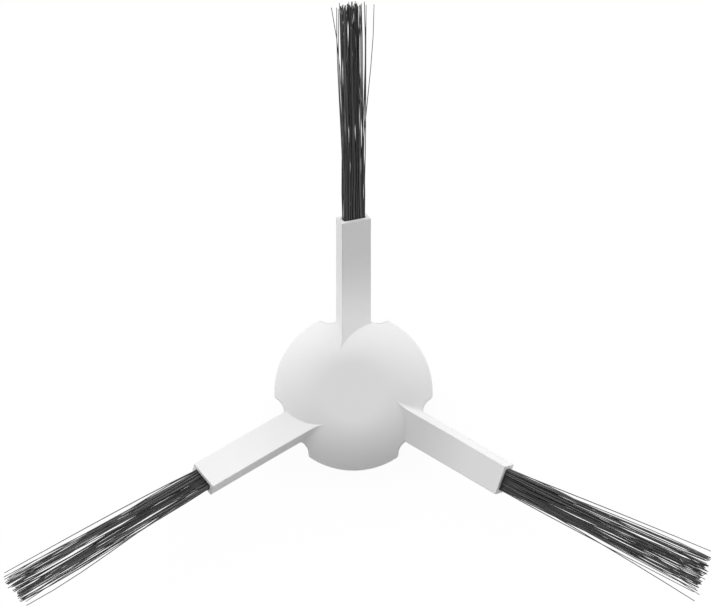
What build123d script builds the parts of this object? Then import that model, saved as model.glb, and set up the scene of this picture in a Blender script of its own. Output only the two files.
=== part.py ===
from build123d import *
import math
import os

# Side brush of a robot vacuum cleaner, in millimetres. It lies dome up on the rim of its cap. The
# origin is on the turning axis, at the mouth of the drive socket, and +Z runs up through the crown.
# Three arms leave the cap level and bend up, and each holds a tuft of nylon filaments.

# Cap: a domed shell with a flat crown, a round shoulder and an upright skirt
cap_radius = 15.1
cap_height = 10.0
cap_wall = 1.4
shoulder_radius = 12.3
shoulder_drop = 4.37
shoulder_edge = 0.5

# Arms: rectangular tubes, rolled about their own length so that one long edge is the highest
first_arm_angle = 90.0
arm_width = 5.9
arm_depth = 3.0
arm_wall = 0.75
arm_roll = 22.5
arm_ridge_below_crown = 0.435
arm_reach = 33.0
arm_rise = 27.5
bend_inset = 0.3
bend_radius = 25.0
root_fillet = 1.0

# Notches: the skirt is cut away round each arm, up to the level of the arm's axis
notch_gap = 3.55
notch_shoulder = 0.55

# Drive socket: a square hole in a boss under the crown, split by two reliefs so that its walls can
# spring, with a bead on each wall that snaps into a groove in the shaft
drive_square = 6.2
drive_lead_in = 0.5
drive_lead_in_slope = 45.0
drive_roof = 1.6
boss_wall = 2.5
relief_width = 1.2
relief_height = 5.0
bead_height = 0.25
bead_radius = 0.6
bead_length = 3.0
bead_level = 2.4

# Ribs: thin walls from the boss to the skirt, half way between the arms
rib_thickness = 1.2
rib_setback = 1.0

# Tufts: straight filaments, bonded at the root into a plug that seats on the floor of the arm's socket
socket_depth = 9.0
plug_clearance = 0.05
plug_recess = 0.4
filament_diameter = 0.26
filament_sides = 4
filament_column_pitch = 0.33
filament_row_pitch = 0.28
filament_bond = 0.4
tuft_length = 45.4
tuft_unevenness = 1.6
tuft_tip_width = 7.4
tuft_tip_thickness = 3.0
tuft_leans = (0.0, 0.0, 4.3)

# Worked out from the sizes above
arm_count = len(tuft_leans)
arm_spacing = 360 / arm_count
crown_radius = cap_radius - math.sqrt(shoulder_radius**2 - (shoulder_radius - shoulder_drop)**2)
roll_cos = math.cos(math.radians(arm_roll))
roll_sin = math.sin(math.radians(arm_roll))
arm_axis_height = cap_height - arm_ridge_below_crown - (arm_width * roll_sin + arm_depth * roll_cos) / 2
notch_width = arm_width * roll_cos + arm_depth * roll_sin + 2 * notch_gap
notch_corner = notch_gap - notch_shoulder
bend_start = cap_radius - bend_inset
arm_straight = (arm_reach - bend_start) / math.cos(math.radians(arm_rise))
arm_straight -= bend_radius * math.tan(math.radians(arm_rise))
boss_radius = drive_square / 2 + boss_wall
drive_depth = cap_height - drive_roof
drive_mouth = drive_square + 2 * drive_lead_in * math.tan(math.radians(drive_lead_in_slope))
socket_width = arm_width - 2 * arm_wall
socket_thickness = arm_depth - 2 * arm_wall
plug_width = socket_width - 2 * plug_clearance
plug_thickness = socket_thickness - 2 * plug_clearance
plug_length = socket_depth - plug_recess

os.makedirs("parts", exist_ok=True)


def cap_section(inset, floor):
    """Half section of the cap, inset from its outer face, from the axis outwards and down to floor."""
    top = cap_height - inset
    edge = cap_radius - inset
    radius = shoulder_radius - inset
    slope = math.degrees(math.asin((edge - crown_radius) / radius))
    with BuildSketch(Plane.XZ) as section:
        with BuildLine():
            crown = Line((0, top), (crown_radius, top))
            shoulder = JernArc(crown @ 1, crown % 1, radius, -slope)
            Polyline(shoulder @ 1, (edge, floor), (0, floor), (0, top))
        make_face()
    return section.sketch


def hollow_section():
    """Half section of the hollow in the cap: flat under the crown, part of a ball under the shoulder."""
    roof = cap_height - cap_wall
    edge = cap_radius - cap_wall
    eave = cap_height - shoulder_radius
    eave += math.sqrt((shoulder_radius - cap_wall)**2 - (edge - crown_radius)**2)
    centre = (roof + eave - (edge**2 - crown_radius**2) / (roof - eave)) / 2
    with BuildSketch(Plane.XZ) as section:
        with BuildLine():
            Line((0, roof), (crown_radius, roof))
            RadiusArc((crown_radius, roof), (edge, eave), math.hypot(edge, eave - centre))
            Polyline((edge, eave), (edge, 0), (0, 0), (0, roof))
        make_face()
    return section.sketch


def arm_root_point(angle):
    """Point where the middle of an arm's narrow upper face runs into the shoulder of the cap."""
    side = arm_width / 2 * roll_cos
    height = arm_axis_height + arm_width / 2 * roll_sin
    rise = height - (cap_height - shoulder_radius)
    radius = crown_radius + math.sqrt(shoulder_radius**2 - rise**2)
    return Vector(math.sqrt(radius**2 - side**2), side, height).rotate(Axis.Z, angle)


def arm_plane(point, direction):
    """Plane across an arm that runs along +X, with its X along the arm's width, turned by the roll."""
    level_plane = Plane(point, x_dir=(0, 1, 0), z_dir=direction)
    return Plane(level_plane.location * Rot(0, 0, arm_roll))


# One arm, along +X: its centre line runs level out of the boss, bends up and ends straight
with BuildPart() as arm:
    with BuildLine(Plane.XZ) as centre_line:
        level = Line((boss_radius - boss_wall / 2, arm_axis_height), (bend_start, arm_axis_height))
        bend = JernArc(level @ 1, level % 1, bend_radius, arm_rise)
        straight = PolarLine(bend @ 1, arm_straight, direction=bend % 1)
    with BuildSketch(arm_plane(level @ 0, level % 0)):
        Rectangle(arm_width, arm_depth)
    sweep(path=centre_line.line)
    mouth = arm_plane(straight @ 1, straight % 1)
    with BuildSketch(mouth):
        Rectangle(socket_width, socket_thickness)
    extrude(amount=-socket_depth, mode=Mode.SUBTRACT)

# One notch, along +X
with BuildPart() as notch:
    with BuildSketch(Plane.YZ):
        RectangleRounded(notch_width, 2 * arm_axis_height, notch_corner)
    extrude(amount=cap_radius + cap_wall)

# One rib, along +X, from the axis to the middle of the cap's wall
with BuildPart() as rib:
    extrude(cap_section(cap_wall / 2, rib_setback), amount=rib_thickness / 2, both=True)

# Hub: cap, boss, ribs and arms, moulded in one piece
with BuildPart() as hub:
    revolve(cap_section(0, 0), axis=Axis.Z)
    skirt_top = hub.edges().filter_by(GeomType.CIRCLE).sort_by(Axis.Z)[1]
    chamfer(skirt_top, shoulder_edge)
    revolve(hollow_section(), axis=Axis.Z, mode=Mode.SUBTRACT)
    with PolarLocations(0, arm_count, first_arm_angle):
        add(notch.part, mode=Mode.SUBTRACT)
    with BuildSketch():
        Circle(boss_radius)
    extrude(amount=cap_height - cap_wall / 2)
    with PolarLocations(0, arm_count, first_arm_angle + arm_spacing / 2):
        add(rib.part)
    with PolarLocations(0, arm_count, first_arm_angle):
        add(arm.part)
    root_points = [arm_root_point(first_arm_angle + index * arm_spacing) for index in range(arm_count)]
    fillet([hub.edges().sort_by_distance(point)[0] for point in root_points], root_fillet)
    with BuildSketch():
        Rectangle(drive_square, drive_square)
    extrude(amount=drive_depth, mode=Mode.SUBTRACT)
    with BuildSketch():
        Rectangle(drive_mouth, drive_mouth)
    extrude(amount=drive_lead_in, taper=drive_lead_in_slope, mode=Mode.SUBTRACT)
    with BuildSketch():
        Rectangle(2 * boss_radius, relief_width)
    extrude(amount=relief_height, mode=Mode.SUBTRACT)
    with BuildSketch(Plane.YZ):
        bead_place = drive_square / 2 + bead_radius - bead_height
        with Locations((bead_place, bead_level), (-bead_place, bead_level)):
            Circle(bead_radius)
    extrude(amount=bead_length / 2, both=True)
hub.part.label = "hub"
export_step(hub.part, "parts/hub.step")

# Tufts: rows of filaments, every other row shifted by half a pitch, that spread evenly to the tips.
# The ends are trimmed unevenly, each by another share of tuft_unevenness.
rows = int((plug_thickness - filament_diameter) / filament_row_pitch) + 1
columns = int((plug_width - filament_diameter) / filament_column_pitch) + 1
spread = (tuft_tip_width - filament_diameter) / ((columns - 1) * filament_column_pitch)
thickness_spread = (tuft_tip_thickness - filament_diameter) / ((rows - 1) * filament_row_pitch)
filament_rise = filament_bond + plug_recess + tuft_length
golden_share = (math.sqrt(5) - 1) / 2
for index, lean in enumerate(tuft_leans):
    angle = first_arm_angle + index * arm_spacing
    floor = Plane(Rot(0, 0, angle) * mouth.location).offset(-socket_depth)
    bond = floor.offset(plug_length - filament_bond)
    filaments = []
    with BuildPart() as tuft:
        with BuildSketch(floor):
            Rectangle(plug_width, plug_thickness)
        extrude(amount=plug_length)
        for row in range(rows):
            through = (row - (rows - 1) / 2) * filament_row_pitch
            in_row = columns - row % 2
            for column in range(in_row):
                across = (column - (in_row - 1) / 2) * filament_column_pitch
                with BuildSketch(bond, mode=Mode.PRIVATE) as root:
                    with Locations((across, through)):
                        RegularPolygon(filament_diameter / 2, filament_sides)
                sideways = across * (spread - 1) + filament_rise * math.tan(math.radians(lean))
                run = bond.z_dir * filament_rise + bond.x_dir * sideways
                run += bond.y_dir * (through * (thickness_spread - 1))
                trim = tuft_unevenness * (golden_share * (row * columns + column) % 1)
                length = run.length * (1 - trim / filament_rise)
                filaments.append(extrude(root.sketch, amount=length, dir=run, mode=Mode.PRIVATE))
        add(filaments, clean=False)
    tuft.part.label = f"bristle_tuft_{index + 1}"
    export_step(tuft.part, f"parts/{tuft.part.label}.step")
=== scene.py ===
import bpy
import math
from mathutils import Matrix


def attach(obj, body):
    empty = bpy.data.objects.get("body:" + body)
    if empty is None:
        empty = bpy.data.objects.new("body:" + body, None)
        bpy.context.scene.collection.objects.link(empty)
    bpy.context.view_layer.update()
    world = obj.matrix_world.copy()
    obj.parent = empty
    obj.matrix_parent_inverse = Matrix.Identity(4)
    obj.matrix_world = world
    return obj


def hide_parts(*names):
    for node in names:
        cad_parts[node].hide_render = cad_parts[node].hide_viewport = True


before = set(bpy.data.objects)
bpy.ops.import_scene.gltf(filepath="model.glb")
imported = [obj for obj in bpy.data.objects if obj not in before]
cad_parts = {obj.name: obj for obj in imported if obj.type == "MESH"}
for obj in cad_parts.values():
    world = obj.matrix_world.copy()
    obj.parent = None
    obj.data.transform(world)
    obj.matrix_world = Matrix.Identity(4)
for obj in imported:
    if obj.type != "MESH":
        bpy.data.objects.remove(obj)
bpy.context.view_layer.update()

# Hub: the cap, its boss and the three arms, injection moulded in one piece from satin white plastic.
# The mould leaves a very fine grain and soft edges, and the plastic's white drifts a little over the
# piece. The brush is pushed onto the cleaner's square shaft from below, with no screw.
EDGE_RADIUS = 0.00024
EDGE_SAMPLES = 8
GRAIN_SCALE = 5200.0
GRAIN_DETAIL = 3.0
GRAIN_HEIGHT = 0.00002
GRAIN_STRENGTH = 0.12
GRAIN_ROUGHNESS = 0.14
DRIFT_SCALE = 90.0
DRIFT_DETAIL = 2.0
DULL_WHITE = (0.835, 0.835, 0.835, 1)
CLEAR_WHITE = (0.87, 0.87, 0.868, 1)
PLASTIC_ROUGHNESS = 0.4
PLASTIC_SPECULAR = 0.3

# The Mix node's two inputs and its output, for each kind of value that is mixed here
MIX_SOCKETS = {"RGBA": (6, 7, 2), "VECTOR": (4, 5, 1)}


class Signal:
    """One output of a node. Sums, differences, products and powers of signals add Math nodes."""

    def __init__(self, tree, node, output):
        self.tree = tree
        self.node = node
        self.socket = node.outputs[output] if node.outputs else None

    @classmethod
    def made(cls, tree, kind, settings=None, sockets=None, output=0):
        """Adds a node: its settings first, then the values of its sockets, or links to them."""
        node = tree.nodes.new(kind)
        for name, value in (settings or {}).items():
            setattr(node, name, value)
        for name, value in (sockets or {}).items():
            for item in value if isinstance(value, list) else [value]:
                if isinstance(item, Signal):
                    tree.links.new(item.socket, node.inputs[name])
                else:
                    node.inputs[name].default_value = item
        return cls(tree, node, output)

    def out(self, output):
        """Another output of the same node."""
        return Signal(self.tree, self.node, output)

    def maths(self, operation, first, second):
        """A Math node on two signals, or on a signal and a number."""
        return Signal.made(self.tree, "ShaderNodeMath", {"operation": operation}, {0: first, 1: second})

    def __add__(self, other):
        return self.maths("ADD", self, other)

    def __sub__(self, other):
        return self.maths("SUBTRACT", self, other)

    def __rsub__(self, other):
        return self.maths("SUBTRACT", other, self)

    def __mul__(self, other):
        return self.maths("MULTIPLY", self, other)

    def __pow__(self, other):
        return self.maths("POWER", self, other)

    __radd__ = __add__
    __rmul__ = __mul__


def blank_tree(owner):
    """The owner's node tree, emptied, so that every node in it is made here."""
    owner.use_nodes = True
    owner.node_tree.nodes.clear()
    return owner.node_tree


def noise(tree, scale, detail):
    """A cloudy pattern from 0 to 1 over the piece, fixed to its own coordinates."""
    place = Signal.made(tree, "ShaderNodeTexCoord", output="Object")
    sockets = {"Vector": place, "Scale": scale, "Detail": detail}
    return Signal.made(tree, "ShaderNodeTexNoise", {}, sockets, "Fac")


def mixed(tree, kind, factor, first, second):
    """A blend of two colours or vectors: the first where factor is 0, the second where it is 1."""
    first_input, second_input, output = MIX_SOCKETS[kind]
    sockets = {"Factor": factor, first_input: first, second_input: second}
    return Signal.made(tree, "ShaderNodeMix", {"data_type": kind}, sockets, output)


white_plastic = bpy.data.materials.new("satin_white_plastic")
tree = blank_tree(white_plastic)
grain = noise(tree, GRAIN_SCALE, GRAIN_DETAIL)
white = mixed(tree, "RGBA", noise(tree, DRIFT_SCALE, DRIFT_DETAIL), DULL_WHITE, CLEAR_WHITE)
soft_edge = Signal.made(tree, "ShaderNodeBevel", {"samples": EDGE_SAMPLES}, {"Radius": EDGE_RADIUS})
grained = Signal.made(tree, "ShaderNodeBump", {}, {
    "Strength": GRAIN_STRENGTH, "Distance": GRAIN_HEIGHT, "Height": grain, "Normal": soft_edge})
surface = Signal.made(tree, "ShaderNodeBsdfPrincipled", {}, {
    "Base Color": white, "Roughness": PLASTIC_ROUGHNESS + GRAIN_ROUGHNESS * grain,
    "Specular IOR Level": PLASTIC_SPECULAR, "Normal": grained})
Signal.made(tree, "ShaderNodeOutputMaterial", {}, {"Surface": surface})
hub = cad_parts["hub"]
hub.data.materials.clear()
hub.data.materials.append(white_plastic)

# Bristle tufts: stiff black nylon filaments that taper to their tips, with their roots glued into a
# plug that fills the socket in the end of each arm. Most run nearly straight, and a few stray out of
# the bundle towards their tips. Every tuft was bent a little differently, and the third one leans.
MOUTH_REACH = 0.033
MOUTH_HEIGHT = 0.01334
ARM_RISE = math.radians(27.5)
ARM_ROLL = math.radians(22.5)
FILAMENT_SIDES = 6
FILAMENT_POINTS = 8
DEEP_BLACK = (0.018, 0.018, 0.019, 1)
SOFT_BLACK = (0.12, 0.12, 0.121, 1)
NYLON_ROUGHNESS = 0.3
STREAK_ROUGHNESS = 0.25
STREAK_SCALE = 900.0
STREAK_DETAIL = 2.0

# In filament radii: how far the roots are moved at random, and how much narrower and thinner than the
# plug their grid is, so that the moved roots still stay inside the socket
ROOT_JITTER = 0.6
WIDTH_MARGIN = 2.4
THICKNESS_MARGIN = 2.8

# A filament wanders less through the tuft's thickness than across its width, and only a few stray far
THROUGH_SHARE = 0.5
STRAY_POWER = 7

# These bring the largest bow to the size that is asked for, and the largest wave close to it
BOW_GAIN = 6.75
WAVE_GAIN = 20.0

# What is left to chance in a filament, each with its own number to add to the tuft's seed
DRAWS = {
    "root across": 11,
    "root through": 12,
    "length": 21,
    "stray": 22,
    "tip across": 24,
    "tip through": 25,
    "bow across": 26,
    "bow through": 27,
    "tone": 28,
    "wave across": 29,
    "wave through": 30,
}

black_nylon = bpy.data.materials.new("black_nylon")
tree = blank_tree(black_nylon)
tone = Signal.made(tree, "ShaderNodeAttribute", {"attribute_name": "tone"}, output="Fac")
black = mixed(tree, "RGBA", tone, DEEP_BLACK, SOFT_BLACK)
streaks = noise(tree, STREAK_SCALE, STREAK_DETAIL)
surface = Signal.made(tree, "ShaderNodeBsdfPrincipled", {}, {
    "Base Color": black, "Roughness": NYLON_ROUGHNESS + STREAK_ROUGHNESS * streaks})
Signal.made(tree, "ShaderNodeOutputMaterial", {}, {"Surface": surface})

tuft_tree = bpy.data.node_groups.new("bristle_tuft", "GeometryNodeTree")
tuft_tree.interface.new_socket("Geometry", in_out="OUTPUT", socket_type="NodeSocketGeometry")
tuft_inputs = {}
# What a tuft is made from, lengths in metres. The tufts below have their own values for some of these
for name, kind, value in [
    ("Columns", "Int", 16),
    ("Rows", "Int", 5),
    ("Plug Width", "Float", 0.0043),
    ("Plug Thickness", "Float", 0.0014),
    ("Plug Length", "Float", 0.0086),
    ("Plug Recess", "Float", 0.0004),
    ("Root Bond", "Float", 0.0004),
    ("Filament Radius", "Float", 0.000108),
    ("Tip Share", "Float", 0.65),
    ("Length", "Float", 0.0455),
    ("Unevenness", "Float", 0.0008),
    ("Spread", "Float", 1.0),
    ("Depth Spread", "Float", 1.7),
    ("Tip Scatter", "Float", 0.001),
    ("Splay", "Float", 0.002),
    ("Bow", "Float", 0.0006),
    ("Wave", "Float", 0.0003),
    ("Lean", "Float", 0.0),
    ("Seed", "Int", 1),
    ("Material", "Material", black_nylon),
]:
    item = tuft_tree.interface.new_socket(name, in_out="INPUT", socket_type="NodeSocket" + kind)
    item.default_value = value
    tuft_inputs[name] = item.identifier


def tuft_node(kind, settings=None, sockets=None, output=0):
    """A node of the tuft's tree."""
    return Signal.made(tuft_tree, kind, settings, sockets, output)


def chance(low, high, draw):
    """A number from low to high for each filament. Sockets 2 and 3 and output 1 are for decimals."""
    sockets = {2: low, 3: high, "ID": filament, "Seed": given.out("Seed") + DRAWS[draw]}
    return tuft_node("FunctionNodeRandomValue", {"data_type": "FLOAT"}, sockets, 1)


def vector(x, y, z):
    """A vector from three numbers or signals."""
    return tuft_node("ShaderNodeCombineXYZ", {}, {"X": x, "Y": y, "Z": z})


def wander(name):
    """A sideways direction for each filament, of a length that is left to chance."""
    across = chance(-1.0, 1.0, name + " across")
    through = chance(-THROUGH_SHARE, THROUGH_SHARE, name + " through")
    return vector(across, through, 0.0)


def stored(geometry, name, kind, value):
    """The geometry, with a value kept at each of its points."""
    return tuft_node("GeometryNodeStoreNamedAttribute", {"data_type": kind, "domain": "POINT"}, {
        "Geometry": geometry, "Name": name, "Value": value})


def recalled(name):
    """A vector that was kept at the points."""
    return tuft_node("GeometryNodeInputNamedAttribute", {"data_type": "FLOAT_VECTOR"}, {"Name": name})


# The roots: a grid of points just below the plug's upper face, each moved a little
given = tuft_node("NodeGroupInput")
filament = tuft_node("GeometryNodeInputIndex")
radius = given.out("Filament Radius")
roots = tuft_node("GeometryNodeMeshGrid", {}, {
    "Size X": given.out("Plug Width") - WIDTH_MARGIN * radius,
    "Size Y": given.out("Plug Thickness") - THICKNESS_MARGIN * radius,
    "Vertices X": given.out("Columns"), "Vertices Y": given.out("Rows")})
jitter = vector(
    radius * chance(-ROOT_JITTER, ROOT_JITTER, "root across"),
    radius * chance(-ROOT_JITTER, ROOT_JITTER, "root through"),
    given.out("Root Bond") * -1.0)
roots = tuft_node("GeometryNodeSetPosition", {}, {"Geometry": roots, "Offset": jitter})

# What each filament keeps of its own: where it starts and ends, how it bends, and its tone
root = tuft_node("GeometryNodeInputPosition")
root_axes = tuft_node("ShaderNodeSeparateXYZ", {}, {0: root})
length = given.out("Length") - given.out("Unevenness") * chance(0.0, 1.0, "length")
scatter = tuft_node("ShaderNodeSeparateXYZ", {}, {0: wander("tip")})
tip_across = root_axes.out("X") * given.out("Spread") + given.out("Tip Scatter") * scatter.out("X")
tip_through = root_axes.out("Y") * given.out("Depth Spread") + given.out("Tip Scatter") * scatter.out("Y")
tip = vector(tip_across + given.out("Lean") * length, tip_through, length)
kept = {
    "root": root,
    "tip": tip,
    "bow": wander("bow"),
    "wave": wander("wave"),
    "stray": vector(chance(-1.0, 1.0, "stray") ** STRAY_POWER, 0.0, 0.0),
}
points = roots
for name, value in kept.items():
    points = stored(points, name, "FLOAT_VECTOR", value)
points = stored(points, "tone", "FLOAT", chance(0.0, 1.0, "tone"))

# The filaments: one line at each root, drawn out to its tip, bent and given a tapered round section
line = tuft_node("GeometryNodeCurvePrimitiveLine")
line = tuft_node("GeometryNodeResampleCurve", {}, {"Curve": line, "Count": FILAMENT_POINTS})
filaments = tuft_node("GeometryNodeInstanceOnPoints", {}, {"Points": points, "Instance": line})
filaments = tuft_node("GeometryNodeRealizeInstances", {}, {"Geometry": filaments})
share = tuft_node("GeometryNodeSplineParameter", output="Factor")
place = mixed(tuft_tree, "VECTOR", share, recalled("root"), recalled("tip"))
bends = {
    "bow": BOW_GAIN * share * share * (1.0 - share) * given.out("Bow"),
    "wave": WAVE_GAIN * share * (1.0 - share) * (0.5 - share) * given.out("Wave"),
    "stray": share * share * given.out("Splay"),
}
for name, amount in bends.items():
    sockets = {"Vector": recalled(name), "Scale": amount}
    moved = tuft_node("ShaderNodeVectorMath", {"operation": "SCALE"}, sockets)
    place = tuft_node("ShaderNodeVectorMath", {"operation": "ADD"}, {0: place, 1: moved})
filaments = tuft_node("GeometryNodeSetPosition", {}, {"Geometry": filaments, "Position": place})
ring = tuft_node("GeometryNodeCurvePrimitiveCircle", {}, {"Resolution": FILAMENT_SIDES, "Radius": radius})
taper = 1.0 - share * (1.0 - given.out("Tip Share"))
filaments = tuft_node("GeometryNodeCurveToMesh", {}, {
    "Curve": filaments, "Profile Curve": ring, "Fill Caps": True, "Scale": taper})

# The plug below the roots, and the whole tuft set back into the socket
plug = tuft_node("GeometryNodeMeshCube", {}, {
    "Size": vector(given.out("Plug Width"), given.out("Plug Thickness"), given.out("Plug Length"))})
plug = tuft_node("GeometryNodeTransform", {}, {
    "Geometry": plug, "Translation": vector(0.0, 0.0, given.out("Plug Length") * -0.5)})
plug = stored(plug, "tone", "FLOAT", 0.0)
whole = tuft_node("GeometryNodeJoinGeometry", {}, {"Geometry": [filaments, plug]})
for name in kept:
    whole = tuft_node("GeometryNodeRemoveAttribute", {}, {"Geometry": whole, "Name": name})
whole = tuft_node("GeometryNodeTransform", {}, {
    "Geometry": whole, "Translation": vector(0.0, 0.0, given.out("Plug Recess") * -1.0)})
whole = tuft_node("GeometryNodeSetMaterial", {}, {"Geometry": whole, "Material": given.out("Material")})
tuft_node("NodeGroupOutput", {}, {"Geometry": whole})

# The three tufts: the direction of each one's arm in degrees, and how its filaments run
tufts = {
    "bristle_tuft_1": (90, {
        "Length": 0.0448, "Spread": 1.0, "Splay": 0.003, "Bow": 0.0004, "Lean": 0.01, "Seed": 438}),
    "bristle_tuft_2": (210, {
        "Columns": 14, "Length": 0.0454, "Spread": 1.25, "Splay": 0.0022, "Bow": 0.0005, "Seed": 539}),
    "bristle_tuft_3": (330, {
        "Columns": 17, "Length": 0.0462, "Spread": 1.55, "Splay": 0.0028, "Bow": 0.0005, "Lean": 0.08,
        "Seed": 275}),
}
for node, (angle, values) in tufts.items():
    holder = bpy.data.objects.new("making_" + node, bpy.data.meshes.new("making_" + node))
    bpy.context.scene.collection.objects.link(holder)
    modifier = holder.modifiers.new("bristles", "NODES")
    modifier.node_group = tuft_tree
    for name, value in values.items():
        modifier[tuft_inputs[name]] = value
    evaluated = holder.evaluated_get(bpy.context.evaluated_depsgraph_get())
    mesh = bpy.data.meshes.new_from_object(evaluated)
    bpy.data.objects.remove(holder)
    outwards = Matrix.Rotation(math.radians(angle), 4, "Z")
    at_mouth = Matrix.Translation((MOUTH_REACH, 0, MOUTH_HEIGHT))
    along_arm = Matrix.Rotation(math.pi / 2 - ARM_RISE, 4, "Y")
    across_arm = Matrix.Rotation(math.pi / 2 + ARM_ROLL, 4, "Z")
    mesh.transform(outwards @ at_mouth @ along_arm @ across_arm)
    tuft = bpy.data.objects.new(node + "_filaments", mesh)
    bpy.context.scene.collection.objects.link(tuft)
    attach(tuft, "root")
    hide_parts(node)

# Stage: a white table top under soft light that comes mostly from beyond the first arm, seen from
# straight above. The table shows white to the camera and still takes the brush's faint shadow. It is
# clear from below, so that the underside of the brush can be seen.
TABLE_GREY = (0.66, 0.66, 0.66, 1)
TABLE_ROUGHNESS = 0.9
TABLE_REACH = 3.0
TABLE_LEVEL = -0.00005
GLOW_STRENGTH = 1.07
GLOW_SHARE = 0.88
SKY_WHITE = (1, 1, 1, 1)
SKY_LEVEL = 1.32
MORE_FROM_LEFT = 0.12
MORE_FROM_SIDES = 0.27
MORE_FROM_BEYOND = 0.94
LESS_FROM_ABOVE = 0.92
CAMERA_LENS = 264
CAMERA_SENSOR = 36
CAMERA_REACH = 10
CAMERA_PLACE = (0.00038, 0.0168, 1.0)


def seen_rays(tree):
    """1 for what the camera sees, straight or in a gloss or through glass, and 0 for light."""
    rays = Signal.made(tree, "ShaderNodeLightPath")
    return rays.out("Is Camera Ray") + rays.out("Is Glossy Ray") + rays.out("Is Transmission Ray")


table_white = bpy.data.materials.new("table_white")
tree = blank_tree(table_white)
matt = Signal.made(tree, "ShaderNodeBsdfPrincipled", {}, {
    "Base Color": TABLE_GREY, "Roughness": TABLE_ROUGHNESS})
glow = Signal.made(tree, "ShaderNodeEmission", {}, {"Strength": GLOW_STRENGTH})
blend = Signal.made(tree, "ShaderNodeMixShader", {}, {0: seen_rays(tree) * GLOW_SHARE, 1: matt, 2: glow})
clear = Signal.made(tree, "ShaderNodeBsdfTransparent")
from_below = Signal.made(tree, "ShaderNodeNewGeometry", output="Backfacing")
one_sided = Signal.made(tree, "ShaderNodeMixShader", {}, {0: from_below, 1: blend, 2: clear})
Signal.made(tree, "ShaderNodeOutputMaterial", {}, {"Surface": one_sided})
table_mesh = bpy.data.meshes.new("table_top")
table_corners = [(-1, -1), (1, -1), (1, 1), (-1, 1)]
table_points = [(TABLE_REACH * x, TABLE_REACH * y, TABLE_LEVEL) for x, y in table_corners]
table_mesh.from_pydata(table_points, [], [(0, 1, 2, 3)])
table_mesh.materials.append(table_white)
table = bpy.data.objects.new("table_top", table_mesh)
bpy.context.scene.collection.objects.link(table)

studio = bpy.data.worlds.new("studio")
bpy.context.scene.world = studio
tree = blank_tree(studio)
direction = Signal.made(tree, "ShaderNodeTexCoord", output="Generated")
axes = Signal.made(tree, "ShaderNodeSeparateXYZ", {}, {0: direction})
light = SKY_LEVEL - MORE_FROM_LEFT * axes.out("X") + MORE_FROM_SIDES * axes.out("X") ** 2
light = light + MORE_FROM_BEYOND * axes.out("Y") - LESS_FROM_ABOVE * axes.out("Z")
seen = seen_rays(tree)
sky = Signal.made(tree, "ShaderNodeBackground", {}, {
    "Color": SKY_WHITE, "Strength": light * (1.0 - seen) + seen})
Signal.made(tree, "ShaderNodeOutputWorld", {}, {"Surface": sky})

camera_data = bpy.data.cameras.new("camera")
camera_data.lens = CAMERA_LENS
camera_data.sensor_width = CAMERA_SENSOR
camera_data.clip_end = CAMERA_REACH
camera = bpy.data.objects.new("camera", camera_data)
camera.location = CAMERA_PLACE
bpy.context.scene.collection.objects.link(camera)
bpy.context.scene.camera = camera
bpy.context.scene.view_settings.view_transform = "Standard"
